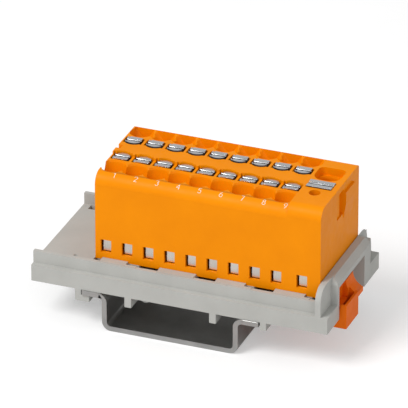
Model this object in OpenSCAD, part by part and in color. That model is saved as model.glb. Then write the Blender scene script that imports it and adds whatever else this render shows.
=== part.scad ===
// Push-in power distribution block on a transverse carrier for 35 mm top-hat rail.
// X runs along the terminal rows, Y from the front row to the rear row, Z up.
// The origin is on the standing plane, under the middle of the overall box.

/* [Terminals] */
// Centre distance between neighbouring wire terminals
pitch = 4.2; // [4.1:0.1:5]
// Number of wire terminals in each row
columns = 9; // [3:1:12]
// Length of the cell that holds the supply terminal
supply_w = 5.9; // [5.8:0.1:8]
// Offset of the mirror line between the two rows from the middle of the housing
row_shift = 1; // [0:0.1:1.2]

/* [Housing] */
// Depth of the housing, front face to rear face
housing_d = 20.3; // [20.1:0.1:21]
// Height of the housing
housing_h = 18; // [17.6:0.1:22]
// Thickness of the outer walls beside the cells
wall_t = 0.6; // [0.5:0.05:0.7]
// Extra wall beside the supply cell
end_margin = 0.7; // [0.5:0.1:2]
// Thickness of the partitions between the cells
partition_t = 0.8; // [0.6:0.1:1]
// Radius of the long top edge at the front
front_edge_r = 2.2; // [1:0.1:2.4]
// Radius of the long top edge at the rear
rear_edge_r = 0.7; // [0.3:0.1:1]
// How far the area of the front row lies below the top
front_drop = 0.55; // [0.2:0.05:0.8]

/* [Wire entries] */
// Radius of a wire hole
wire_r = 1.15; // [0.8:0.05:1.3]
// Radius of a wire funnel at its mouth
funnel_r = 2.5; // [2.3:0.05:2.6]
// Depth of a wire funnel
funnel_h = 3.2; // [2:0.1:4]
// Distance of the wire holes from the mirror line of the rows
wire_u = 6.85; // [6.6:0.05:7]
// How far the rear funnels sit behind their holes
rear_mouth_shift = 0.4; // [0:0.05:0.6]
// Radius of the supply wire hole
supply_r = 1.9; // [1.5:0.05:2.1]
// Side of the square mouth of the supply funnel
supply_mouth = 5.2; // [4.8:0.1:5.3]
// Radius of the test socket
test_r = 1.1; // [0.8:0.05:1.3]

/* [Release buttons] */
// Width of a small release button along the row
button_w = 2.9; // [2.4:0.05:3]
// Distance of a button's flat side from the mirror line
button_out = 4.15; // [3.9:0.05:4.3]
// Depth of a small button, flat side to the ends of its arc
button_d = 1.8; // [1.4:0.05:1.9]
// Rise of the arc on the inner side of a button
button_bulge = 0.7; // [0.4:0.05:0.8]
// Depth of the supply button
supply_button_d = 2.75; // [2.4:0.05:2.9]
// Width of the screwdriver groove across a button
groove_w = 0.75; // [0.5:0.05:0.9]
// Height of a button above the face around it
button_proud = 0.2; // [0.1:0.05:0.4]
// Travel of a button when it is pressed
button_travel = 1; // [0.6:0.1:1.4]
// Running clearance around a button in its guide
guide_gap = 0.06; // [0.04:0.01:0.09]
// Wider clearance around the head of a button
head_gap = 0.25; // [0.1:0.05:0.3]

/* [Contacts] */
// Sheet thickness of the busbar
busbar_t = 0.6; // [0.5:0.05:0.7]
// Width of a contact tongue where the wire meets it
tongue_w = 2.8; // [2.2:0.1:3]
// Width of the neck of a contact tongue, seen in the inspection window
neck_w = 1.5; // [1.2:0.1:1.8]
// Sheet thickness of a clamping spring
spring_t = 0.3; // [0.2:0.05:0.35]
// Width of a clamping spring
spring_w = 2.6; // [2:0.1:3]
// Sheet thickness of the supply spring
supply_spring_t = 0.4; // [0.3:0.05:0.5]
// Width of the supply spring
supply_spring_w = 4.4; // [3.6:0.1:4.8]
// Width of an inspection window in the front face
window_w = 2.1; // [2:0.1:2.6]
// Height of an inspection window
window_h = 2.6; // [2:0.1:3]
// Clearance between the parts inside the housing
inner_gap = 0.1; // [0.05:0.01:0.15]

/* [Carrier] */
// Length of the open bay beside the housing
bay_l = 11.6; // [8:0.1:16]
// Depth of the carrier over its lower bands
carrier_d = 28; // [27.6:0.1:31]
// Height of the lower band on each long side
band_h = 3.3; // [2.8:0.1:3.4]
// Height of the floor above the rail
floor_h = 3.5; // [3.4:0.1:4]
// Thickness of the floor
floor_t = 1.5; // [1.2:0.1:1.6]
// Height of the rims above the rail
rim_h = 5.75; // [5.6:0.05:6.2]
// Thickness of a rim
rim_t = 0.8; // [0.6:0.1:1.1]
// Set-back of a rim behind the lower band
rim_step = 1.1; // [0.8:0.1:1.4]
// Height of the housing's seat above the rail
seat_h = 5.4; // [5.3:0.05:5.5]
// How far the middle of the housing lies in front of the carrier's middle
housing_shift = 0.6; // [0.4:0.1:1]
// Thickness of the end wall
end_t = 2.45; // [2.2:0.05:3]
// Thickness of the thin part of the end wall at its front and rear
end_thin_t = 1.1; // [0.9:0.1:1.4]
// Height of the end wall above the rail
end_h = 8.75; // [8.2:0.05:9.2]
// Clearance between the housing and the end wall
housing_gap = 0.15; // [0.1:0.05:0.3]

/* [Release foot] */
// How far the release foot stands out past the carrier
foot_reach = 1.3; // [0.8:0.1:2]
// Width of the release foot
foot_w = 9; // [8:0.1:9.2]
// Distance of the foot's front side in front of the carrier's middle
foot_front = 7.3; // [7:0.1:7.4]
// Travel of the release foot away from the rail
foot_travel = 2.2; // [1.6:0.1:2.4]
// Thickness of the foot's slide plate
slide_t = 1.3; // [1:0.05:1.4]
// Clearance around the release foot
foot_gap = 0.1; // [0.08:0.01:0.15]

/* [Rail] */
// Overall width of the top-hat rail
rail_w = 35; // [34.8:0.1:35.2]
// Outer width of the hat
hat_w = 27; // [26:0.1:27.2]
// Height of the rail
rail_h = 7.5; // [7.4:0.1:8]
// Sheet thickness of the rail
rail_t = 1; // [0.9:0.05:1.1]
// Inner radius of the rail's bends
rail_bend_r = 0.8; // [0.5:0.1:1]
// Length of the piece of rail
rail_l = 28.6; // [28.6:0.1:60]
// How far the middle of the rail lies left of the carrier's middle
rail_shift = 1.6; // [1:0.1:2]
// Clearance between the hooks and the rail's flanges
hook_gap = 0.25; // [0.15:0.05:0.4]

/* [Hidden] */
$fn = 48;
cut = 0.5;
function numbered(name) = [for (i = [1 : columns]) str(name, i)];

// Lengths along X
housing_l = columns * pitch + supply_w + end_margin;
carrier_l = bay_l + housing_l + housing_gap + end_t;
carrier_x0 = -(carrier_l + foot_reach) / 2;
carrier_x1 = carrier_x0 + carrier_l;
housing_x0 = carrier_x0 + bay_l;
housing_x1 = housing_x0 + housing_l;
supply_x = housing_x0 + columns * pitch + supply_w / 2;
supply_half = (supply_w - partition_t) / 2;
cell_half = (pitch - partition_t) / 2;
rail_x = (carrier_x0 + carrier_x1) / 2 - rail_shift;
end_x0 = carrier_x1 - end_t;
foot_x1 = carrier_x1 + foot_reach;

// Lines along Y
housing_y0 = -housing_shift - housing_d / 2;
housing_y1 = housing_y0 + housing_d;
axis_y = -housing_shift + row_shift;
step_y = axis_y - button_out + button_d;
front_wall_y = housing_y0 + wall_t;
rear_wall_y = housing_y1 - wall_t;
band_y = carrier_d / 2;
rim_y = band_y - rim_step;
rim_in_y = rim_y - rim_t;
foot_y0 = -foot_front;
foot_y1 = foot_y0 + foot_w;

// Levels along Z
carrier_z = rail_h;
band_top = carrier_z + band_h;
floor_top = carrier_z + floor_h;
floor_low = floor_top - floor_t;
rim_top = carrier_z + rim_h;
seat_z = carrier_z + seat_h;
end_top = carrier_z + end_h;
housing_top = seat_z + housing_h;
front_top = housing_top - front_drop;
cover_t = 1.1;
busbar_z = seat_z + cover_t;
cell_floor = busbar_z + busbar_t + inner_gap / 2;
bend_r = 1.1;
spring_bend_r = 1;
spring_leg_h = 5.55;
spring_bend_z = busbar_z + spring_leg_h;
spring_top = spring_bend_z + spring_bend_r + spring_t / 2;
button_foot = spring_top + button_travel + inner_gap;
collar_lift = 1.4;
collar_z = button_foot + collar_lift;
collar_h = 1.1;
collar_roof = collar_z + collar_h + inner_gap;
roof_lift = 0.5;
cell_roof = button_foot + roof_lift;
tongue_drop = 0.8;
tongue_top = cell_roof - tongue_drop;
front_room_h = 4.4;
front_room_z = busbar_z + front_room_h;

// The terminal cells
web_t = 1.6;
tongue_u = wire_u + wire_r - busbar_t / 2;
collar_u = 0.4;
supply_wire_u = 3.2;
supply_wall = 0.6;
supply_lead = 1;
heel_room = 0.95;
test_wall = 0.75;
window_sill = 1.45;
supply_wire_y = axis_y + supply_wire_u;
supply_button_y = supply_wire_y - supply_mouth / 2 - supply_button_d / 2 - supply_wall;
supply_tongue_y = supply_wire_y + supply_r + supply_lead;
supply_bend_r = 1.2;
supply_cell_y0 = supply_button_y - supply_button_d / 2 - heel_room;
supply_cell_y1 = supply_tongue_y + busbar_t / 2 + inner_gap;
test_y = supply_button_y - supply_button_d / 2 - test_r - test_wall;
window_z = seat_z + window_sill;

function col_x(i) = housing_x0 + (i + 0.5) * pitch;
function row_y(side, u) = axis_y + side * u;

// A box from one corner to the opposite one, in either order along Y
module box(x, y, z) {
    translate([x[0], min(y), z[0]])
        cube([x[1] - x[0], abs(y[1] - y[0]), z[1] - z[0]]);
}

// Extrudes a (Y, Z) outline along X, centred on x
module across(x, w) {
    translate([x - w / 2, 0, 0])
        rotate([90, 0, 90])
            linear_extrude(w)
                children();
}

// What a rounded corner takes away; the corner is at the origin, the solid lies along dir
module corner_cut(r, dir) {
    difference() {
        translate([dir[0] > 0 ? -cut : -r, dir[1] > 0 ? -cut : -r])
            square(r + cut);
        translate([dir[0] * r, dir[1] * r])
            circle(r);
    }
}

// Sheet metal strips: a centre line, thickened to both sides with mitred corners
function arc(c, r, a0, a1, n = 8) = [for (k = [0 : n]) let (a = a0 + (a1 - a0) * k / n) c + r * [cos(a), sin(a)]];
function unit(v) = v / norm(v);
function left_of(v) = [-v[1], v[0]];
function mitre(p, k, d) =
    let (a = k > 0 ? unit(p[k] - p[k - 1]) : unit(p[1] - p[0]))
    let (b = k < len(p) - 1 ? unit(p[k + 1] - p[k]) : a)
    let (n = unit(left_of(a) + left_of(b)))
    p[k] + n * d / (n * left_of(a));
function ribbon(p, t) = concat(
    [for (k = [0 : len(p) - 1]) mitre(p, k, t / 2)],
    [for (k = [len(p) - 1 : -1 : 0]) mitre(p, k, -t / 2)]);
function on_side(side, p) = [for (q = p) [row_y(side, q[0]), q[1]]];

// ---------------------------------------------------------------- housing

// Side outline of the housing with its two rounded long edges
module housing_outline(top) {
    difference() {
        translate([housing_y0, seat_z])
            square([housing_d, top - seat_z]);
        translate([housing_y0, top])
            corner_cut(front_edge_r, [1, -1]);
        translate([housing_y1, top])
            corner_cut(rear_edge_r, [-1, -1]);
    }
}

// The area of the front row is a step lower than the rest of the top
module housing_body() {
    difference() {
        across((housing_x0 + housing_x1) / 2, housing_l)
            housing_outline(housing_top);
        across(housing_x0 - cut + (columns * pitch + cut) / 2, columns * pitch + cut)
            difference() {
                translate([housing_y0 - cut, front_top - front_edge_r])
                    square([step_y - housing_y0 + cut, front_edge_r + front_drop + cut]);
                translate([housing_y0, front_top - front_edge_r - cut])
                    difference() {
                        square([housing_d, front_edge_r + cut]);
                        translate([0, front_edge_r + cut])
                            corner_cut(front_edge_r, [1, -1]);
                    }
            }
    }
}

// Funnel and hole of one wire terminal
module wire_entry(i, side) {
    top = side < 0 ? front_top : housing_top;
    mouth_y = row_y(side, wire_u) + (side > 0 ? rear_mouth_shift : 0);
    slope = (funnel_r - wire_r) / funnel_h;
    translate([col_x(i), row_y(side, wire_u), cell_roof - cut])
        cylinder(r = wire_r, h = top - cell_roof);
    intersection() {
        translate([col_x(i), mouth_y, top - funnel_h])
            cylinder(r1 = wire_r, r2 = funnel_r + slope * cut, h = funnel_h + cut);
        box([housing_x0 + wall_t / 2, housing_x1], [housing_y0, housing_y1 - wall_t / 2], [cell_roof, top + 1]);
    }
}

// Plan of a small button: flat on the outer side, an arc on the inner side
module button_plan(side, grow) {
    arc_r = (pow(button_w / 2, 2) + pow(button_bulge, 2)) / (2 * button_bulge);
    inner = button_out - button_d - button_bulge;
    intersection() {
        translate([0, side * (inner + arc_r)])
            circle(arc_r + grow);
        translate([-button_w / 2 - grow, side < 0 ? -button_out - grow : inner - grow])
            square([button_w + 2 * grow, button_d + button_bulge + 2 * grow]);
    }
}

// Guide of one small button and the wider pocket around its head
head_h = 1;
module button_shaft(i, side) {
    top = side < 0 ? front_top : housing_top;
    translate([col_x(i), axis_y, collar_roof - cut])
        linear_extrude(top + 1 - collar_roof + cut)
            button_plan(side, guide_gap);
    translate([col_x(i), axis_y, top - head_h])
        linear_extrude(head_h + front_drop + cut)
            intersection() {
                button_plan(side, head_gap);
                translate([-pitch, side < 0 ? -button_out - guide_gap : 0])
                    square([2 * pitch, button_out + guide_gap]);
            }
}

// Room for the spring, the contact tongue and the collar of the button
module cell(i, side) {
    wall_u = side < 0 ? axis_y - front_wall_y : rear_wall_y - axis_y;
    x = [col_x(i) - cell_half, col_x(i) + cell_half];
    box(x, [row_y(side, web_t / 2), row_y(side, wall_u)], [cell_floor, front_room_z]);
    box(x, [row_y(side, web_t / 2), row_y(side, tongue_u + busbar_t / 2 + inner_gap)], [cell_floor, cell_roof]);
    box(x, [row_y(side, web_t / 2), row_y(side, button_out + collar_u)], [cell_floor, collar_roof]);
}

module supply_button_plan(grow) {
    translate([-supply_half + inner_gap - grow, -supply_button_d / 2 - grow])
        square([2 * (supply_half - inner_gap + grow), supply_button_d + 2 * grow]);
}

// Mouth of the supply funnel: square towards the rear, round towards the front
module supply_mouth_plan() {
    half = supply_mouth / 2;
    front_r = 0.8 * half;
    rear_r = 0.4 * half;
    difference() {
        translate([-half, -half])
            square(supply_mouth);
        translate([-half, -half])
            corner_cut(front_r, [1, 1]);
        translate([half, -half])
            corner_cut(front_r, [-1, 1]);
        translate([-half, half])
            corner_cut(rear_r, [1, -1]);
        translate([half, half])
            corner_cut(rear_r, [-1, -1]);
    }
}

// The square mouth runs into a cone, which laps into it and narrows to the wire hole
square_h = 1.6;
cone_sink = 0.8;
cone_lap = 0.2;
module supply_cuts() {
    x = [supply_x - supply_half, supply_x + supply_half];
    box(x, [supply_cell_y0, supply_cell_y1], [cell_floor, cell_roof]);
    box(x, [supply_cell_y0, supply_button_y + supply_button_d / 2 + inner_gap], [cell_floor, collar_roof]);
    box([supply_x - cell_half, supply_x + cell_half], [front_wall_y, supply_cell_y0 + cut],
        [cell_floor, front_room_z]);
    translate([supply_x, supply_button_y, collar_roof - cut])
        linear_extrude(housing_top - collar_roof + 1)
            supply_button_plan(guide_gap);
    translate([supply_x, supply_wire_y, cell_roof - cut])
        cylinder(r = supply_r, h = housing_top - cell_roof);
    translate([supply_x, supply_wire_y, housing_top - funnel_h - cone_sink])
        cylinder(r1 = supply_r, r2 = supply_mouth / 2, h = funnel_h + cone_sink - square_h + cone_lap);
    translate([supply_x, supply_wire_y, housing_top - square_h])
        linear_extrude(square_h + cut)
            supply_mouth_plan();
    translate([supply_x, test_y, cell_floor])
        cylinder(r = test_r, h = housing_top - cell_floor + cut);
}

// Inspection windows in the front face
module windows() {
    for (x = concat([for (i = [0 : columns - 1]) col_x(i)], [supply_x]))
        box([x - window_w / 2, x + window_w / 2], [housing_y0 - cut, front_wall_y + cut],
            [window_z, window_z + window_h]);
}

// Undercut guide that takes the next block on the right, and its groove on the left
link_shift = 1.9;
link_y = axis_y - link_shift;
link_w = 1.4;
link_depth = 0.9;
link_h = 6.2;
link_lid = 1.2;
link_z = housing_top - link_h;
module link_cuts() {
    box([housing_x1 - wall_t, housing_x1 + cut], [link_y - link_w / 2, link_y + link_w], [link_z, housing_top + cut]);
    box([housing_x1 - link_depth, housing_x1 + cut], [link_y + link_w, link_y + 2 * link_w],
        [link_z, housing_top - link_lid]);
    box([housing_x0 - cut, housing_x0 + link_depth], [axis_y - link_w / 2, axis_y + link_w / 2],
        [link_z, housing_top + cut]);
}

// Raised pad beside the guide, thinning out towards its foot
module link_pad() {
    pad_w = 4.9;
    pad_h = 5.6;
    pad_t = 0.5;
    pad_drop = 1.9;
    translate([housing_x1, link_y + 2 * link_w, housing_top - pad_drop - pad_h])
        rotate([-90, 0, 0])
            linear_extrude(pad_w)
                polygon([[-pad_t, 0], [0, 0], [pad_t, -pad_h * 0.6], [pad_t, -pad_h], [-pad_t, -pad_h]]);
}

// Small locating teeth on the right face: wedges that rise towards one lower corner
tooth_l = 2.8;
tooth_h = 2;
tooth_t = 0.55;
tooth_drop = 7.2;
tooth_u = [-6.8, 6.9];
module tooth(y) {
    translate([housing_x1, y, housing_top - tooth_drop])
        intersection() {
            rotate([90, 0, 90])
                translate([0, 0, -tooth_t])
                    linear_extrude(2 * tooth_t)
                        polygon([[0, 0], [-tooth_l, 0], [0, tooth_h]]);
            rotate([0, 0, -atan(tooth_t / tooth_l)])
                translate([-2 * tooth_t, -2 * tooth_l, 0])
                    cube([2 * tooth_t, 4 * tooth_l, tooth_h]);
            rotate([0, -atan(tooth_t / tooth_h), 0])
                translate([-2 * tooth_t, -2 * tooth_l, -tooth_h])
                    cube([3 * tooth_t, 4 * tooth_l, 3 * tooth_h]);
        }
}

module housing() {
    color("orange")
        difference() {
            union() {
                housing_body();
                link_pad();
                for (u = tooth_u)
                    tooth(axis_y + u);
            }
            box([housing_x0 + wall_t, housing_x1 - wall_t], [front_wall_y, rear_wall_y], [seat_z - cut, cell_floor]);
            for (i = [0 : columns - 1], side = [-1, 1]) {
                cell(i, side);
                button_shaft(i, side);
                wire_entry(i, side);
            }
            supply_cuts();
            windows();
            link_cuts();
        }
}

// ---------------------------------------------------------------- base cover

// Feet that drop into the pockets of the carrier's floor
foot_hole = [2.6, 1.7];
hole_lead = 1.5;
hole_end = 5;
hole_front = 3.35;
hole_rear = 2.15;
foot_hole_x = [housing_x0 - hole_lead, housing_x1 - hole_end];
foot_hole_y = [housing_y0 + hole_front, housing_y1 - hole_rear];
module base_cover() {
    color("darkorange") {
        box([housing_x0 + wall_t + inner_gap, housing_x1 - wall_t - inner_gap],
            [front_wall_y + inner_gap, rear_wall_y - inner_gap], [seat_z, busbar_z]);
        for (x = foot_hole_x, y = foot_hole_y)
            box([x + hole_lead + wall_t + inner_gap, x + hole_lead + foot_hole[0]],
                [y - foot_hole[1] / 2 + inner_gap, y + foot_hole[1] / 2 - inner_gap], [floor_low, seat_z]);
    }
}

// ---------------------------------------------------------------- contacts

// Centre lines of the tongues: a bend out of the base, then up beside the wire
front_bend_u = axis_y - front_wall_y - inner_gap - busbar_t / 2 - bend_r;
base_line = busbar_z + busbar_t / 2;
bulge_h = 3.5;
neck_h = 3.6;
function front_bulge() = concat(
    [[wire_u - wire_r, base_line]],
    arc([front_bend_u, base_line + bend_r], bend_r, -90, 50),
    [[tongue_u, base_line + bulge_h]]);
function front_tongue() = concat(front_bulge(), [[tongue_u, tongue_top]]);
function rear_tongue() = concat(
    [[wire_u - wire_r - 1, base_line]],
    arc([tongue_u - bend_r, base_line + bend_r], bend_r, -90, 0),
    [[tongue_u, tongue_top]]);

module tongue(x, side, path) {
    across(x, neck_w)
        polygon(on_side(side, ribbon(path, busbar_t)));
    box([x - tongue_w / 2, x + tongue_w / 2],
        [row_y(side, tongue_u - busbar_t / 2), row_y(side, tongue_u + busbar_t / 2)],
        [base_line + neck_h, tongue_top]);
}

module busbar() {
    supply_u = supply_tongue_y - axis_y;
    color("gainsboro") {
        box([col_x(0) - tongue_w / 2, supply_x + supply_spring_w / 2],
            [row_y(-1, wire_u - wire_r + 0.5), row_y(1, wire_u - wire_r)], [busbar_z, busbar_z + busbar_t]);
        for (i = [0 : columns - 1]) {
            tongue(col_x(i), -1, front_tongue());
            tongue(col_x(i), 1, rear_tongue());
        }
        across(supply_x, neck_w)
            polygon(on_side(-1, ribbon(front_bulge(), busbar_t)));
        across(supply_x, supply_spring_w)
            polygon(on_side(1, ribbon(concat(
                [[supply_u - bend_r - 1, base_line]],
                arc([supply_u - bend_r, base_line + bend_r], bend_r, -90, 0),
                [[supply_u, tongue_top]]), busbar_t)));
    }
}

// Clamping spring: a leg against the web, a bend, and a leg that slopes to the tongue
function spring_path(foot, c, r, turn, reach) =
    let (bend = arc(c, r, 180, turn))
    let (tip = bend[len(bend) - 1])
    concat([foot], bend, [[reach, tip[1] - (reach - tip[0]) / tan(turn)]]);

module row_spring(i, side) {
    heel = web_t / 2 + inner_gap + spring_t / 2;
    color("silver")
        across(col_x(i), spring_w)
            polygon(on_side(side, ribbon(spring_path(
                [heel, busbar_z + busbar_t], [heel + spring_bend_r, spring_bend_z],
                spring_bend_r, 50, tongue_u - busbar_t / 2 - inner_gap - spring_t / 2), spring_t)));
}

module supply_spring() {
    heel = supply_cell_y0 + inner_gap + supply_spring_t / 2;
    bend_z = spring_top - supply_bend_r - supply_spring_t / 2;
    color("silver")
        across(supply_x, supply_spring_w)
            polygon(ribbon(spring_path(
                [heel, busbar_z + busbar_t], [heel + supply_bend_r, bend_z],
                supply_bend_r, 58, supply_tongue_y - busbar_t / 2 - inner_gap - supply_spring_t / 2),
                supply_spring_t));
}

// ---------------------------------------------------------------- buttons

// Screwdriver groove with round flanks, along the row
module groove(w, y, top) {
    translate([-w, y, top])
        rotate([0, 90, 0])
            cylinder(r = groove_w / 2, h = 2 * w);
}

// A small button with a collar that its guide holds back, and bevelled ends
end_bevel = 0.3;
module row_button(i, side) {
    top = (side < 0 ? front_top : housing_top) + button_proud;
    mid = side * (button_out - (button_d + button_bulge) / 2);
    color("lightsteelblue")
        translate([col_x(i), axis_y, 0])
            difference() {
                union() {
                    translate([0, 0, button_foot])
                        linear_extrude(top - button_foot)
                            button_plan(side, 0);
                    translate([0, 0, collar_z])
                        linear_extrude(collar_h)
                            intersection() {
                                button_plan(side, collar_u);
                                translate([-cell_half + inner_gap, side < 0 ? -button_out : 0])
                                    square([2 * (cell_half - inner_gap), button_out]);
                            }
                }
                groove(button_w, mid, top);
                for (edge = [-1, 1])
                    translate([edge * button_w / 2, -pitch, top])
                        rotate([0, 45, 0])
                            cube([end_bevel, 2 * pitch, end_bevel]);
            }
}

module supply_button() {
    top = housing_top + button_proud;
    color("lightsteelblue")
        translate([supply_x, supply_button_y, 0])
            difference() {
                union() {
                    translate([0, 0, button_foot])
                        linear_extrude(top - button_foot)
                            supply_button_plan(0);
                    box([-supply_half + inner_gap, supply_half - inner_gap],
                        [-supply_button_d / 2 - collar_u, supply_button_d / 2], [collar_z, collar_z + collar_h]);
                }
                groove(supply_w, 0, top);
            }
}

// ---------------------------------------------------------------- carrier

// Ledges in front of and behind the housing: seats with tabs between open notches
tab_n = 4;
tab_gap = 4.2;
tab_in = 1.5;
tab_lap = 0.9;
tab_up = 0.45;
module seats() {
    tab_l = (housing_l - tab_gap * (tab_n - 1) - 2 * tab_in) / tab_n;
    for (k = [0 : tab_n - 1]) {
        x = housing_x0 + tab_in + k * (tab_l + tab_gap);
        box([x, x + tab_l], [-rim_in_y - cut, housing_y0 + tab_lap], [floor_low, seat_z]);
        box([x, x + tab_l], [-rim_in_y - cut, housing_y0 - inner_gap], [floor_low, seat_z + tab_up]);
        box([x, x + tab_l], [housing_y1 - tab_lap, housing_y1 + tab_lap], [floor_low, seat_z]);
        box([x, x + tab_l], [housing_y1 + inner_gap, housing_y1 + tab_lap], [floor_low, seat_z + tab_up]);
    }
}

// Opening of the release foot through the end wall
gate_front = 0.3;
gate_rear = 4.3;
gate_h = 6.65;
gate_gap = 0.1;
gate_y0 = foot_y0 - gate_front;
gate_y1 = foot_y1 + gate_rear;
gate_top = carrier_z + gate_h;

// The end wall is thick from the post in front of the opening to the shoulder behind it
post_w = 0.9;
post_h = 7.3;
shoulder_w = 3.2;
shoulder_drop = 0.9;
shoulder_in = 0.3;
end_corner_r = 2.8;
end_chamfer = 1.5;
post_y = gate_y0 - post_w;
shoulder_y = gate_y1 + shoulder_w;
module end_wall() {
    difference() {
        union() {
            across(end_x0 + end_thin_t / 2, end_thin_t)
                difference() {
                    translate([-band_y, carrier_z])
                        square([carrier_d, end_h]);
                    translate([-band_y, end_top])
                        corner_cut(end_corner_r, [1, -1]);
                    translate([band_y, end_top])
                        corner_cut(end_corner_r, [-1, -1]);
                }
            across(carrier_x1 - end_t / 2, end_t)
                difference() {
                    translate([post_y, carrier_z])
                        square([shoulder_y - post_y, end_h]);
                    translate([post_y, end_top])
                        corner_cut(end_h - post_h, [1, -1]);
                }
            box([end_x0, carrier_x1], [-band_y, band_y], [carrier_z, band_top]);
            translate([0, 0, band_top - cut])
                linear_extrude(end_h - band_h - shoulder_drop + cut)
                    polygon([[end_x0, shoulder_y - cut], [carrier_x1, shoulder_y - cut],
                        [end_x0 + end_thin_t, band_y - shoulder_in], [end_x0, band_y - shoulder_in]]);
        }
        translate([carrier_x1, 0, end_top])
            rotate([0, 45, 0])
                cube([end_chamfer, 2 * carrier_d, end_chamfer], center = true);
        gate();
    }
}

module gate() {
    box([end_x0 - gate_gap, carrier_x1 + cut], [gate_y0, gate_y1], [carrier_z - cut, gate_top]);
}

// Hooks that hold the left flange, stops beside the right one and ribs inside the hat
hook_t = 1.2;
hook_l = 4;
hook_drop = 1.4;
hook_reach = 1.6;
hook_z = carrier_z - rail_t - hook_drop;
grip_gap = 0.1;
stop_h = 1.6;
rib_t = 1.3;
rib_x = 8.4;
rib_drop = 2;
rib_z = carrier_z - rib_drop;
nub_r = 1;
nub_in = [2.4, 3.2];
module rail_grips() {
    left_x = rail_x - rail_w / 2 - hook_gap;
    right_x = rail_x + rail_w / 2 + hook_gap;
    for (y = [[-band_y, -band_y + hook_l], [band_y - hook_l, band_y]]) {
        box([left_x - hook_t, left_x], y, [hook_z, floor_low + cut]);
        box([left_x - hook_t, left_x + hook_reach], y, [hook_z, carrier_z - rail_t - grip_gap]);
        box([right_x, right_x + hook_t], y, [carrier_z - stop_h, floor_low + cut]);
        for (side = [-1, 1])
            box([rail_x + side * rib_x - rib_t / 2, rail_x + side * rib_x + rib_t / 2], y, [rib_z, floor_low + cut]);
    }
    translate([rail_x - rib_x + nub_in[0], -band_y + nub_in[1], rib_z + nub_r]) {
        cylinder(r = nub_r, h = floor_low - rib_z - nub_r + cut);
        sphere(nub_r);
    }
}

// Left edge wall, a slit along the rear rim and a small pit in the floor of the bay
edge_t = 1.2;
slit_x = [1.5, 1];
slit_y = [1.8, 0.2];
pit_in = [5.2, 4.2];
pit_r = 0.35;
pit_h = 0.3;
module carrier() {
    color("lightgray")
        difference() {
            union() {
                for (side = [-1, 1]) {
                    box([carrier_x0, carrier_x1], [side * rim_in_y, side * band_y], [carrier_z, band_top]);
                    box([carrier_x0, end_x0 + cut], [side * rim_in_y, side * rim_y], [floor_low, rim_top]);
                }
                box([carrier_x0, end_x0 + cut], [-rim_y, rim_y], [floor_low, floor_top]);
                box([carrier_x0, carrier_x0 + edge_t], [-rim_y, rim_y], [carrier_z, floor_top]);
                seats();
                end_wall();
                rail_grips();
                foot_guides();
            }
            gate();
            for (x = foot_hole_x, y = foot_hole_y)
                box([x, x + foot_hole[0] + hole_lead], [y - foot_hole[1] / 2, y + foot_hole[1] / 2],
                    [floor_low - cut, floor_top + cut]);
            box([carrier_x0 + slit_x[0], housing_x0 - slit_x[1]],
                [rim_in_y - slit_y[0], rim_in_y - slit_y[1]], [floor_low - cut, floor_top + cut]);
            translate([housing_x0 - pit_in[0], -rim_in_y + pit_in[1], floor_top - pit_h])
                cylinder(r = pit_r, h = pit_h + cut);
        }
}

// Ledges under both sides of the slide plate
slide_z = floor_low - foot_gap - slide_t;
nose_t = 1.6;
guide_in = 0.3;
guide_t = 1;
ledge_w = 0.8;
module foot_guides() {
    guide_x = [rail_x + rail_w / 2 + hook_gap + nose_t + foot_travel + guide_in, end_x0 - gate_gap];
    for (side = [-1, 1]) {
        y = side < 0 ? foot_y0 : foot_y1;
        box(guide_x, [y + side * foot_gap, y + side * (foot_gap + guide_t)], [carrier_z, floor_low + cut]);
        box(guide_x, [y - side * ledge_w, y + side * (foot_gap + guide_t)], [carrier_z, slide_z - foot_gap]);
    }
}

// ---------------------------------------------------------------- release foot

// Slide plate with a nose under the right flange and a screwdriver slot outside
nose_lap = 1.6;
foot_wall_t = 1.2;
foot_drop = 2;
lip_l = 6.5;
lip_h = 2.8;
tower_in = 0.3;
tower_t = 0.9;
tower_h = 5.3;
floor_in = 0.4;
ramp_l = 5;
ramp_r = 3.1;
ramp_out = 1.1;
ramp_up = 0.1;
slot_h = 1.6;
module release_foot() {
    tip_x = rail_x + rail_w / 2;
    nose_x = tip_x + hook_gap;
    ramp_y = foot_y0 + ramp_l;
    lip_y = foot_y0 + lip_l;
    low = carrier_z - foot_drop;
    top = carrier_z + tower_h;
    tower_x = end_x0 + tower_in;
    color("orangered") {
        box([tip_x - nose_lap, foot_x1 - foot_wall_t], [foot_y0, foot_y1], [slide_z, slide_z + slide_t]);
        box([nose_x, nose_x + nose_t], [foot_y0, foot_y1], [hook_z, slide_z + slide_t]);
        box([tip_x - nose_lap, nose_x + nose_t], [foot_y0, foot_y1], [hook_z, carrier_z - rail_t - grip_gap]);
        box([foot_x1 - foot_wall_t, foot_x1], [foot_y0, lip_y], [low, carrier_z + lip_h]);
        box([tower_x, foot_x1 - floor_in], [foot_y0, lip_y], [low, slide_z + slide_t]);
        box([tower_x, tower_x + tower_t], [foot_y0, foot_y1], [slide_z, top]);
        translate([0, ramp_y, 0])
            rotate([90, 0, 0])
                mirror([0, 0, 1])
                    linear_extrude(foot_y1 - ramp_y)
                        difference() {
                            translate([tower_x, slide_z])
                                square([foot_x1 - tower_x, top - slide_z]);
                            translate([foot_x1 + ramp_out, top + ramp_up])
                                circle(ramp_r);
                            translate([foot_x1 - foot_wall_t, slide_z - cut])
                                square([foot_wall_t + cut, carrier_z + slot_h - slide_z + cut]);
                        }
    }
}

// ---------------------------------------------------------------- rail

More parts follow.
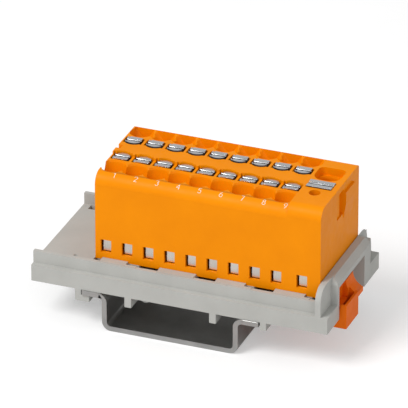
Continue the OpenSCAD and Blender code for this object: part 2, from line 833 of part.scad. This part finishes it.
// Top-hat rail of 1 mm sheet with rounded bends
module din_rail() {
    outer_r = rail_bend_r + rail_t;
    in_w = hat_w - 2 * rail_t;
    color("silver")
        rotate([90, 0, 0])
            translate([rail_x, 0, -rail_l / 2])
                linear_extrude(rail_l)
                    difference() {
                        union() {
                            translate([-hat_w / 2, 0])
                                square([hat_w, rail_h]);
                            translate([-rail_w / 2, rail_h - rail_t])
                                square([rail_w, rail_t]);
                            for (side = [-1, 1])
                                translate([side * hat_w / 2, rail_h - rail_t])
                                    corner_fill(rail_bend_r, [side, -1]);
                        }
                        difference() {
                            translate([-in_w / 2, rail_t])
                                square([in_w, rail_h]);
                            for (side = [-1, 1])
                                translate([side * in_w / 2, rail_t])
                                    corner_fill(rail_bend_r, [-side, 1]);
                        }
                        for (side = [-1, 1]) {
                            translate([side * hat_w / 2, 0])
                                corner_cut(outer_r, [-side, 1]);
                            translate([side * in_w / 2, rail_h])
                                corner_cut(outer_r, [side, -1]);
                        }
                    }
}

// What fills an inner corner at the origin with a fillet
module corner_fill(r, dir) {
    intersection() {
        corner_cut(r, dir);
        translate([dir[0] > 0 ? -cut / 10 : -r, dir[1] > 0 ? -cut / 10 : -r])
            square(r + cut / 10);
    }
}

housing();
base_cover();
busbar();
carrier();
release_foot();
din_rail();
supply_button();
supply_spring();
for (i = [0 : columns - 1]) {
    row_button(i, -1);
    row_button(i, 1);
    row_spring(i, -1);
    row_spring(i, 1);
}
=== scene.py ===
"""Look of a push-in power distribution block that is clipped across a piece of top-hat rail."""
import math

import bmesh
import bpy
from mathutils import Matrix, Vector

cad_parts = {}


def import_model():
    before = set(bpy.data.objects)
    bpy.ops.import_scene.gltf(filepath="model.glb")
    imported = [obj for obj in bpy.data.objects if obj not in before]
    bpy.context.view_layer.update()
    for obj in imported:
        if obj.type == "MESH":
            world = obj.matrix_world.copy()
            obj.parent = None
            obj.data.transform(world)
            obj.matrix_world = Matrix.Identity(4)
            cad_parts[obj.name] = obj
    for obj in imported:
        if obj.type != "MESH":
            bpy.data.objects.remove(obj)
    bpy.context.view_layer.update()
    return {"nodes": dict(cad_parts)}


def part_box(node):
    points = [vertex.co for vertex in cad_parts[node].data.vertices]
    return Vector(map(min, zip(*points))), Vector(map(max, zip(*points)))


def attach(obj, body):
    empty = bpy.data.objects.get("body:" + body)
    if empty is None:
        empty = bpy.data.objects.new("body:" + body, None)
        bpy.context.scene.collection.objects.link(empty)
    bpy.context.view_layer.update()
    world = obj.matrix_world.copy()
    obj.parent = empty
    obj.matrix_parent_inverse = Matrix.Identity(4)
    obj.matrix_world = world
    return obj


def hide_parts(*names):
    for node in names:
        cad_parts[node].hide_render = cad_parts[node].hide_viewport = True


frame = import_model()

MM = 0.001
NODES = frame["nodes"]
COLUMNS = sum(name.startswith("front_button_") for name in NODES)


# ---------------------------------------------------------------- shader helpers

class Shader:
    """A material with short calls for adding and linking its nodes."""

    def __init__(self, name):
        self.material = bpy.data.materials.new(name)
        self.material.use_nodes = True
        self.tree = self.material.node_tree
        self.tree.nodes.clear()
        self.surface = self.add("ShaderNodeBsdfPrincipled")
        output = self.add("ShaderNodeOutputMaterial")
        self.link(self.surface.outputs["BSDF"], output.inputs["Surface"])
        self.place = self.add("ShaderNodeTexCoord").outputs["Object"]

    def add(self, kind, **settings):
        node = self.tree.nodes.new(kind)
        for key, value in settings.items():
            setattr(node, key, value)
        return node

    def link(self, source, target):
        self.tree.links.new(source, target)

    def noise(self, scale, detail=3.0, stretch=(1, 1, 1)):
        """Noise value in the object's own space; scale is in waves per metre."""
        mapping = self.add("ShaderNodeMapping")
        mapping.inputs["Scale"].default_value = stretch
        self.link(self.place, mapping.inputs["Vector"])
        noise = self.add("ShaderNodeTexNoise")
        noise.inputs["Scale"].default_value = scale
        noise.inputs["Detail"].default_value = detail
        self.link(mapping.outputs["Vector"], noise.inputs["Vector"])
        return noise.outputs["Fac"]

    def band(self, value, low, high):
        """The value's middle range, spread over low to high."""
        span = self.add("ShaderNodeMapRange")
        span.inputs["From Min"].default_value = 0.3
        span.inputs["From Max"].default_value = 0.7
        span.inputs["To Min"].default_value = low
        span.inputs["To Max"].default_value = high
        self.link(value, span.inputs["Value"])
        return span.outputs["Result"]

    def blend(self, value, low, high):
        """Colour between low and high, by value."""
        mix = self.add("ShaderNodeMix", data_type="RGBA")
        self.link(value, mix.inputs["Factor"])
        mix.inputs[6].default_value = (*low, 1)
        mix.inputs[7].default_value = (*high, 1)
        return mix.outputs[2]

    def bump(self, height, distance, strength=1.0, below=None):
        bump = self.add("ShaderNodeBump")
        bump.inputs["Strength"].default_value = strength
        bump.inputs["Distance"].default_value = distance
        self.link(height, bump.inputs["Height"])
        if below:
            self.link(below, bump.inputs["Normal"])
        return bump.outputs["Normal"]

    def set(self, **values):
        for key, value in values.items():
            socket = self.surface.inputs[key.replace("_", " ")]
            if isinstance(value, bpy.types.NodeSocket):
                self.link(value, socket)
            else:
                socket.default_value = value


# ---------------------------------------------------------------- materials

def plastic(name, low, high, roughness=(0.38, 0.5)):
    """Moulded plastic: cloudy colour, a fine eroded skin and faint flow lines."""
    shader = Shader(name)
    cloud = shader.noise(160, 4.0)
    shader.set(Base_Color=shader.blend(shader.band(cloud, 0, 1), low, high))
    shader.set(Roughness=shader.band(shader.noise(700, 2.0), *roughness))
    flow = shader.bump(shader.noise(90, 2.0, (0.4, 1, 1.6)), 0.02 * MM, 0.5)
    shader.set(Normal=shader.bump(shader.noise(9000, 2.0), 0.004 * MM, 0.6, flow))
    shader.set(IOR=1.46, Specular_IOR_Level=0.1)
    return shader.material


def rolled_metal(name, low, high, roughness, along, grain=(6000, 0.003)):
    """Sheet metal with the fine lines of its rolling, which run along one axis."""
    shader = Shader(name)
    stretch = [0.02 if axis == along else 1 for axis in "XYZ"]
    lines = shader.noise(grain[0], 2.0, stretch)
    stain = shader.noise(260, 4.0)
    shader.set(Base_Color=shader.blend(shader.band(stain, 0, 1), low, high))
    shader.set(Metallic=1.0, Roughness=shader.band(lines, *roughness))
    shader.set(Normal=shader.bump(lines, grain[1] * MM, 0.6))
    return shader.material


def paint():
    """Matt white printing ink, a little uneven."""
    shader = Shader("printing_ink")
    wear = shader.band(shader.noise(5000, 3.0), 0, 1)
    shader.set(Base_Color=shader.blend(wear, (0.86, 0.80, 0.66), (0.95, 0.92, 0.84)))
    shader.set(Roughness=0.6, Normal=shader.bump(shader.noise(12000), 0.004 * MM, 0.5))
    return shader.material


ORANGE = plastic("orange_plastic", (0.86, 0.255, 0.0), (0.91, 0.28, 0.0))
GREY = plastic("grey_plastic", (0.44, 0.44, 0.415), (0.48, 0.48, 0.455), (0.42, 0.55))
FOOT = plastic("release_foot_plastic", (0.80, 0.13, 0.002), (0.87, 0.165, 0.004), (0.34, 0.44))
STEEL = rolled_metal("rail_steel", (0.42, 0.415, 0.405), (0.50, 0.495, 0.485), (0.3, 0.42), "Y")
BUTTON = rolled_metal("button_metal", (0.70, 0.71, 0.73), (0.80, 0.81, 0.83), (0.22, 0.34), "X")
TIN = rolled_metal("tinned_copper", (0.70, 0.68, 0.64), (0.80, 0.78, 0.73), (0.25, 0.38), "Z")
# Near-black metal, used only as painted shade in the buttons' grooves and on their flanks
PAINTED_SHADE_METAL = rolled_metal("painted_shade_metal", (0.07, 0.07, 0.075), (0.12, 0.12, 0.125), (0.45, 0.6), "X")
SPRING = rolled_metal("spring_steel", (0.50, 0.50, 0.50), (0.60, 0.60, 0.60), (0.25, 0.35), "X")
INK = paint()

FINISH = {"housing": ORANGE, "base_cover": ORANGE, "busbar": TIN, "carrier": GREY,
          "release_foot": FOOT, "din_rail": STEEL, "supply_button": BUTTON, "supply_spring": SPRING}


def dress_frame():
    """Gives every CAD piece its material."""
    for name, node in NODES.items():
        kind = name.rstrip("0123456789")
        material = FINISH.get(name) or {"front_button_": BUTTON, "rear_button_": BUTTON}.get(kind, SPRING)
        node.data.materials.clear()
        node.data.materials.append(material)


# ---------------------------------------------------------------- finer pieces

def solid_of_revolution(profile, place, steps=48):
    """Closed mesh data round a vertical axis, from (radius, height) pairs, top to bottom."""
    points, faces = [], []
    for radius, height in profile:
        for k in range(steps):
            turn = 2 * math.pi * k / steps
            points.append((place[0] + radius * math.cos(turn), place[1] + radius * math.sin(turn), height))
    for ring in range(len(profile) - 1):
        for k in range(steps):
            a, b = ring * steps + k, ring * steps + (k + 1) % steps
            faces.append((a, a + steps, b + steps, b))
    faces.append(tuple(range(steps)))
    last = (len(profile) - 1) * steps
    faces.append(tuple(last + k for k in reversed(range(steps))))
    return points, faces


def block(low, high):
    """Closed mesh data of a box from its lowest to its highest corner."""
    points = [(x, y, z) for x in (low[0], high[0]) for y in (low[1], high[1]) for z in (low[2], high[2])]
    faces = [(0, 1, 3, 2), (4, 6, 7, 5), (0, 4, 5, 1), (2, 3, 7, 6), (0, 2, 6, 4), (1, 5, 7, 3)]
    return points, faces


def prism(outline, x0, x1):
    """Closed mesh data of a (Y, Z) outline, extruded along X."""
    count = len(outline)
    points = [(x, y, z) for x in (x0, x1) for y, z in outline]
    faces = [tuple(range(count)), tuple(count + k for k in reversed(range(count)))]
    faces += [(k, count + k, count + (k + 1) % count, (k + 1) % count) for k in range(count)]
    return points, faces


def mesh_piece(name, shapes):
    """An object from several closed shapes, in millimetres, with its normals turned outwards."""
    mesh = bpy.data.meshes.new(name)
    points, faces = [], []
    for shape_points, shape_faces in shapes:
        start = len(points)
        points += [tuple(MM * value for value in point) for point in shape_points]
        faces += [tuple(start + k for k in face) for face in shape_faces]
    mesh.from_pydata(points, [], faces)
    work = bmesh.new()
    work.from_mesh(mesh)
    bmesh.ops.recalc_face_normals(work, faces=work.faces)
    work.to_mesh(mesh)
    work.free()
    piece = bpy.data.objects.new(name, mesh)
    bpy.context.scene.collection.objects.link(piece)
    return piece


def welded(source):
    """A copy of a mesh whose faces share their corners, as carving needs."""
    mesh = source.copy()
    work = bmesh.new()
    work.from_mesh(mesh)
    bmesh.ops.remove_doubles(work, verts=work.verts, dist=0.0002 * MM)
    bmesh.ops.recalc_face_normals(work, faces=work.faces)
    work.to_mesh(mesh)
    work.free()
    return mesh


def refine(node, body, material, cutters=(), edge=0.0):
    """A carved and edge-rounded copy of a CAD piece, which replaces it; cutters are lists of shapes."""
    piece = bpy.data.objects.new(node + "_fine", welded(NODES[node].data))
    bpy.context.scene.collection.objects.link(piece)
    tools = [mesh_piece("tool", shapes) for shapes in cutters]
    for tool in tools:
        carve = piece.modifiers.new("carve", "BOOLEAN")
        carve.operation = "DIFFERENCE"
        carve.solver = "MANIFOLD"
        carve.object = tool
    if edge:
        bevel = piece.modifiers.new("edges", "BEVEL")
        bevel.width = edge * MM
        bevel.segments = 2
        bevel.limit_method = "ANGLE"
        bevel.angle_limit = math.radians(40)
        bevel.use_clamp_overlap = True
    bpy.context.view_layer.update()
    shaped = bpy.data.meshes.new_from_object(piece.evaluated_get(bpy.context.evaluated_depsgraph_get()))
    piece.modifiers.clear()
    piece.data = shaped
    for tool in tools:
        bpy.data.objects.remove(tool)
    finish_piece(piece, body, material)
    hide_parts(node)
    return piece


def finish_piece(piece, body, material):
    """Gives a piece its material and its body."""
    piece.data.materials.clear()
    piece.data.materials.append(material)
    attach(piece, body)


def size_of(node):
    """Lowest and highest corner of a CAD piece in millimetres."""
    low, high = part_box(node)
    return low / MM, high / MM


HOUSING = size_of("housing")
FRONT = [size_of(f"front_button_{i}") for i in range(1, COLUMNS + 1)]
REAR = [size_of(f"rear_button_{i}") for i in range(1, COLUMNS + 1)]
COLUMN_X = [(low.x + high.x) / 2 for low, high in FRONT]
SUPPLY_BUTTON = size_of("supply_button")
SUPPLY_X = (SUPPLY_BUTTON[0].x + SUPPLY_BUTTON[1].x) / 2
PROUD = 0.2
FRONT_TOP = FRONT[0][1].z - PROUD
REAR_TOP = REAR[0][1].z - PROUD
OVERSHOOT = 0.5

# Wire funnels: a steep upper part, then a cone down to the hole
WIRE_STEP = 2.7
REAR_FUNNEL_SHIFT = 0.1
FRONT_MOUTH_R = 2.4
REAR_MOUTH_R = 2.1
THROAT_STEP = 0.45
STEEP_DEPTH = 2.6
FUNNEL_DEPTH = 4
WIRE_R = 1.15

# Pockets round the small buttons
BUTTON_BULGE = 0.7
GUIDE_GAP = 0.06
POCKET_GAP = 0.25
POCKET_DEPTH = 3

# Distance of a groove's middle from the flat side of its button
GROOVE_IN = 1.25
SUPPLY_GROOVE_IN = 1.375


def terminal_shapes(first):
    """Steep funnels, and deeper pockets round the buttons, of every second column."""
    shapes = []
    for i in range(first, COLUMNS, 2):
        x = COLUMN_X[i]
        wires = ((FRONT[i][0].y - WIRE_STEP, FRONT_TOP, FRONT_MOUTH_R),
                 (REAR[i][1].y + WIRE_STEP - REAR_FUNNEL_SHIFT, REAR_TOP, REAR_MOUTH_R))
        for y, top, mouth in wires:
            profile = [(mouth, top + OVERSHOOT), (mouth, top), (mouth - THROAT_STEP, top - STEEP_DEPTH),
                       (WIRE_R, top - FUNNEL_DEPTH)]
            shapes.append(solid_of_revolution(profile, (x, y)))
        for (low, high), side, top in ((FRONT[i], -1, FRONT_TOP), (REAR[i], 1, REAR_TOP)):
            flat, inner = (low.y, high.y - BUTTON_BULGE) if side < 0 else (high.y, low.y + BUTTON_BULGE)
            y0, y1 = sorted((flat + side * GUIDE_GAP, inner))
            shapes.append(block((low.x - POCKET_GAP, y0, top - POCKET_DEPTH),
                                (high.x + POCKET_GAP, y1, top + 1)))
    return shapes


def supply_mouth():
    """The supply funnel keeps its width for 3 mm before it narrows."""
    wall_and_half_mouth = 3.2
    top = HOUSING[1].z
    profile = [(2.5, top + OVERSHOOT), (2.5, top), (2.4, top - 3), (1.9, top - 4.2)]
    return [solid_of_revolution(profile, (SUPPLY_X, SUPPLY_BUTTON[1].y + wall_and_half_mouth))]


def button_groove(low, high, y):
    """Deep screwdriver groove along a button's head, inside the shallow one."""
    half, depth = 0.3, 0.9
    return [block((low.x - 1, y - half, high.z - depth), (high.x + 1, y + half, high.z + 1))]


def paint_shade_below_head(piece, top):
    """Paints shade onto a button: its groove and flanks, every face more than 0.2 mm below the head's top,
    get near-black metal.
    """
    rim = 0.2
    piece.data.materials.append(PAINTED_SHADE_METAL)
    for face in piece.data.polygons:
        if face.center.z < (top - rim) * MM:
            face.material_index = 1


def guide_cover():
    """Closes the guide in the right face at its top, and makes the strip below it shallow."""
    pad, wall, strip_depth = 0.5, 0.6, 0.3
    lid, lid_gap, strip = 1.2, 0.05, 6.2
    x, top = HOUSING[1].x - pad, REAR_TOP
    y0, y1 = HOUSING[0].y + 8.55, HOUSING[0].y + 10.65
    shapes = [block((x - wall, y0, top - lid), (x, y1, top)),
              block((x - wall, y0, top - strip), (x - strip_depth, y1, top - lid - lid_gap))]
    piece = mesh_piece("guide_cover", shapes)
    finish_piece(piece, "block", ORANGE)


def end_wall_corner():
    """What the rounded rear corner of the end wall leaves off."""
    high = size_of("carrier")[1]
    radius, reach, drop = 4.2, 2.4, 5.4
    centre_y, centre_z = high.y - 5.9, high.z - radius
    arc = [(centre_y + radius * math.sin(math.radians(a)), centre_z + radius * math.cos(math.radians(a)))
           for a in range(0, 91, 6)]
    outline = arc + [(centre_y + radius, high.z - drop), (high.y + 1, high.z - drop),
                     (high.y + 1, high.z + 1), (centre_y, high.z + 1)]
    return [prism(outline, high.x - reach, high.x + 1)]


def tab_gaps():
    """Wider notches between the seat tabs in front of the housing."""
    left, front, seat = HOUSING[0]
    depth = 1.85
    spans = [(left + 6.55, left + 8.8), (left + 29.9, left + 31.6), (left + 41.65, left + 43)]
    return [block((x0, -12, seat - depth), (x1, front - 0.05, seat + 1)) for x0, x1 in spans]


def foot_slot():
    """Deep slot that leaves the foot's outer wall thin."""
    low, high = size_of("release_foot")
    wall, width = 0.5, 1.05
    return [block((high.x - wall - width, low.y + wall, low.z + 1), (high.x - wall, low.y + 5.9, low.z + 7))]


def contact_faces():
    """Flat contact faces behind the inspection windows."""
    front = size_of("busbar")[0].y
    bottom, top = HOUSING[0].z + 1.6, HOUSING[0].z + 4.3
    shapes = [block((x - 0.7, front - 0.02, bottom), (x + 0.9, front + 0.25, top))
              for x in COLUMN_X + [SUPPLY_X]]
    piece = mesh_piece("contact_faces", shapes)
    finish_piece(piece, "block", TIN)


# ---------------------------------------------------------------- printed numbers

def bow(x, y, rx, ry, start, end):
    """Points of a curved stroke in a digit's own square: 1 wide, 2 high."""
    count = 12
    turns = [math.radians(start + (end - start) * k / count) for k in range(count + 1)]
    return [(x + rx * math.cos(turn), y + ry * math.sin(turn)) for turn in turns]


SIX = [[(0.06, 0.7), (0.25, 1.4), (0.75, 2)], bow(0.5, 0.6, 0.45, 0.6, 0, 360)]
DIGITS = {
    1: [[(0.2, 1.6), (0.55, 2), (0.55, 0)]],
    2: [bow(0.5, 1.5, 0.45, 0.5, 170, -35) + [(0.05, 0), (0.95, 0)]],
    3: [bow(0.5, 1.52, 0.42, 0.48, 150, -90), bow(0.5, 0.52, 0.46, 0.52, 90, -150)],
    4: [[(0.72, 0), (0.72, 2), (0.02, 0.6), (1, 0.6)]],
    5: [[(0.9, 2), (0.2, 2), (0.14, 1.1)], bow(0.48, 0.62, 0.46, 0.62, 125, -150)],
    6: SIX,
    7: [[(0.05, 2), (0.95, 2), (0.35, 0)]],
    8: [bow(0.5, 1.5, 0.38, 0.48, 90, 450), bow(0.5, 0.52, 0.46, 0.52, 90, 450)],
    9: [[(1 - x, 2 - y) for x, y in stroke] for stroke in SIX],
}


def on_front_edge(x, along):
    """Point just above the rounded front edge; along is the way down it, from its start."""
    radius = 2.2
    centre_y = HOUSING[0].y + radius
    turn = along / radius
    rise = radius + 0.012
    return (x, centre_y - rise * math.sin(turn), FRONT_TOP - radius + rise * math.cos(turn))


def fine_steps(stroke, steps=6):
    """The stroke with more points on its straight parts, so that it follows a curved face."""
    points = [stroke[0]]
    for (u0, v0), (u1, v1) in zip(stroke, stroke[1:]):
        points += [(u0 + (u1 - u0) * k / steps, v0 + (v1 - v0) * k / steps) for k in range(1, steps + 1)]
    return points


def numbers():
    """One printed number beside each front terminal, as strokes that lie on the edge."""
    half = 0.07
    start, height, width = 0.5, 1.1, 0.65
    points, faces = [], []
    for i, x in enumerate(COLUMN_X):
        for stroke in map(fine_steps, DIGITS[i + 1]):
            first = len(points)
            for k, (u, v) in enumerate(stroke):
                before, after = stroke[max(k - 1, 0)], stroke[min(k + 1, len(stroke) - 1)]
                way = Vector((after[0] - before[0], after[1] - before[1])).normalized()
                for side in (-half, half):
                    across, along = u - way.y * side, v + way.x * side
                    points.append(on_front_edge(x + 1.05 + width * across, start + height * (1 - along / 2)))
            faces += [(first + 2 * k, first + 2 * k + 2, first + 2 * k + 3, first + 2 * k + 1)
                      for k in range(len(stroke) - 1)]
    mesh = bpy.data.meshes.new("numbers")
    mesh.from_pydata([tuple(MM * value for value in point) for point in points], [], faces)
    piece = bpy.data.objects.new("numbers", mesh)
    bpy.context.scene.collection.objects.link(piece)
    finish_piece(piece, "block", INK)


def finer_pieces():
    """Replaces the CAD pieces by finer ones, and adds what they lack."""
    openings = [terminal_shapes(0), terminal_shapes(1), supply_mouth()]
    refine("housing", "block", ORANGE, openings)
    refine("carrier", "block", GREY, [end_wall_corner(), tab_gaps()], 0.1)
    refine("din_rail", "block", STEEL, (), 0.1)
    refine("release_foot", "foot", FOOT, [foot_slot()], 0.08)
    keys = [("supply_button", "supply_key")]
    for i in range(1, COLUMNS + 1):
        keys += [(f"{row}_button_{i}", f"{row}_key_{i}") for row in ("front", "rear")]
    for node, body in keys:
        low, high = size_of(node)
        groove_y = {"front": low.y + GROOVE_IN, "rear": high.y - GROOVE_IN,
                    "supply": high.y - SUPPLY_GROOVE_IN}[node.split("_")[0]]
        piece = refine(node, body, BUTTON, [button_groove(low, high, groove_y)], 0.05)
        # painted shade: near-black metal below each button's head
        paint_shade_below_head(piece, high.z)
    contact_faces()
    guide_cover()
    numbers()


# ---------------------------------------------------------------- stage, lamps and camera

def stage():
    """White paper floor, lifted for the camera so that only the shadows show on it."""
    floor = bpy.data.meshes.new("floor")
    half = 4.0
    corners = [(-half, -half), (half, -half), (half, half), (-half, half)]
    floor.from_pydata([(x, y, 0) for x, y in corners], [], [(0, 1, 2, 3)])
    piece = bpy.data.objects.new("floor", floor)
    bpy.context.scene.collection.objects.link(piece)
    shader = Shader("floor_paper")
    cloud = shader.band(shader.noise(40), 0, 1)
    shader.set(Base_Color=shader.blend(cloud, (0.69, 0.69, 0.69), (0.71, 0.71, 0.71)))
    shader.set(Roughness=0.9)
    lift = shader.add("ShaderNodeMath", operation="MULTIPLY")
    shader.link(shader.add("ShaderNodeLightPath").outputs["Is Camera Ray"], lift.inputs[0])
    lift.inputs[1].default_value = 0.34
    shader.set(Emission_Color=(1, 1, 1, 1), Emission_Strength=lift.outputs["Value"])
    floor.materials.append(shader.material)
    return piece


def world():
    """Pale surroundings: white to the camera, softer as a light."""
    made = bpy.data.worlds.new("studio")
    bpy.context.scene.world = made
    made.use_nodes = True
    tree = made.node_tree
    tree.nodes.clear()
    output = tree.nodes.new("ShaderNodeOutputWorld")
    background = tree.nodes.new("ShaderNodeBackground")
    background.inputs["Color"].default_value = (1, 1, 1, 1)
    background.inputs["Strength"].default_value = 0.52
    seen = tree.nodes.new("ShaderNodeBackground")
    seen.inputs["Strength"].default_value = 1.0
    ray = tree.nodes.new("ShaderNodeLightPath")
    choice = tree.nodes.new("ShaderNodeMixShader")
    tree.links.new(ray.outputs["Is Camera Ray"], choice.inputs["Fac"])
    tree.links.new(background.outputs["Background"], choice.inputs[1])
    tree.links.new(seen.outputs["Background"], choice.inputs[2])
    tree.links.new(choice.outputs["Shader"], output.inputs["Surface"])


def lamp(name, place, aim, size, power):
    """Round area lamp that points at aim."""
    data = bpy.data.lights.new(name, "AREA")
    data.shape = "DISK"
    data.size = size
    data.energy = power
    light = bpy.data.objects.new(name, data)
    bpy.context.scene.collection.objects.link(light)
    light.location = place
    light.rotation_euler = (Vector(aim) - Vector(place)).to_track_quat("-Z", "Y").to_euler()
    return light


def camera():
    """Long lens from the front right, a little above, as the part is usually shown."""
    azimuth, elevation = math.radians(21.2), math.radians(27.44)
    back = Vector((math.sin(azimuth) * math.cos(elevation), -math.cos(azimuth) * math.cos(elevation),
                   math.sin(elevation)))
    target = Vector((0.55, -3.82, 24.29)) * MM
    data = bpy.data.cameras.new("camera")
    data.sensor_width = 36
    data.lens = 529.4
    data.clip_start = 0.1
    data.clip_end = 20
    seen = bpy.data.objects.new("camera", data)
    bpy.context.scene.collection.objects.link(seen)
    seen.location = target + back * 1107 * MM
    seen.rotation_euler = (-back).to_track_quat("-Z", "Y").to_euler()
    bpy.context.scene.camera = seen


camera()
dress_frame()
finer_pieces()
stage()
world()
lamp("key", (-0.35, -0.5, 0.75), (0, 0, 0.015), 0.5, 5.9)
lamp("fill", (0.7, -0.5, 0.35), (0, 0, 0.015), 0.6, 1.3)
bpy.context.scene.view_settings.view_transform = "Standard"
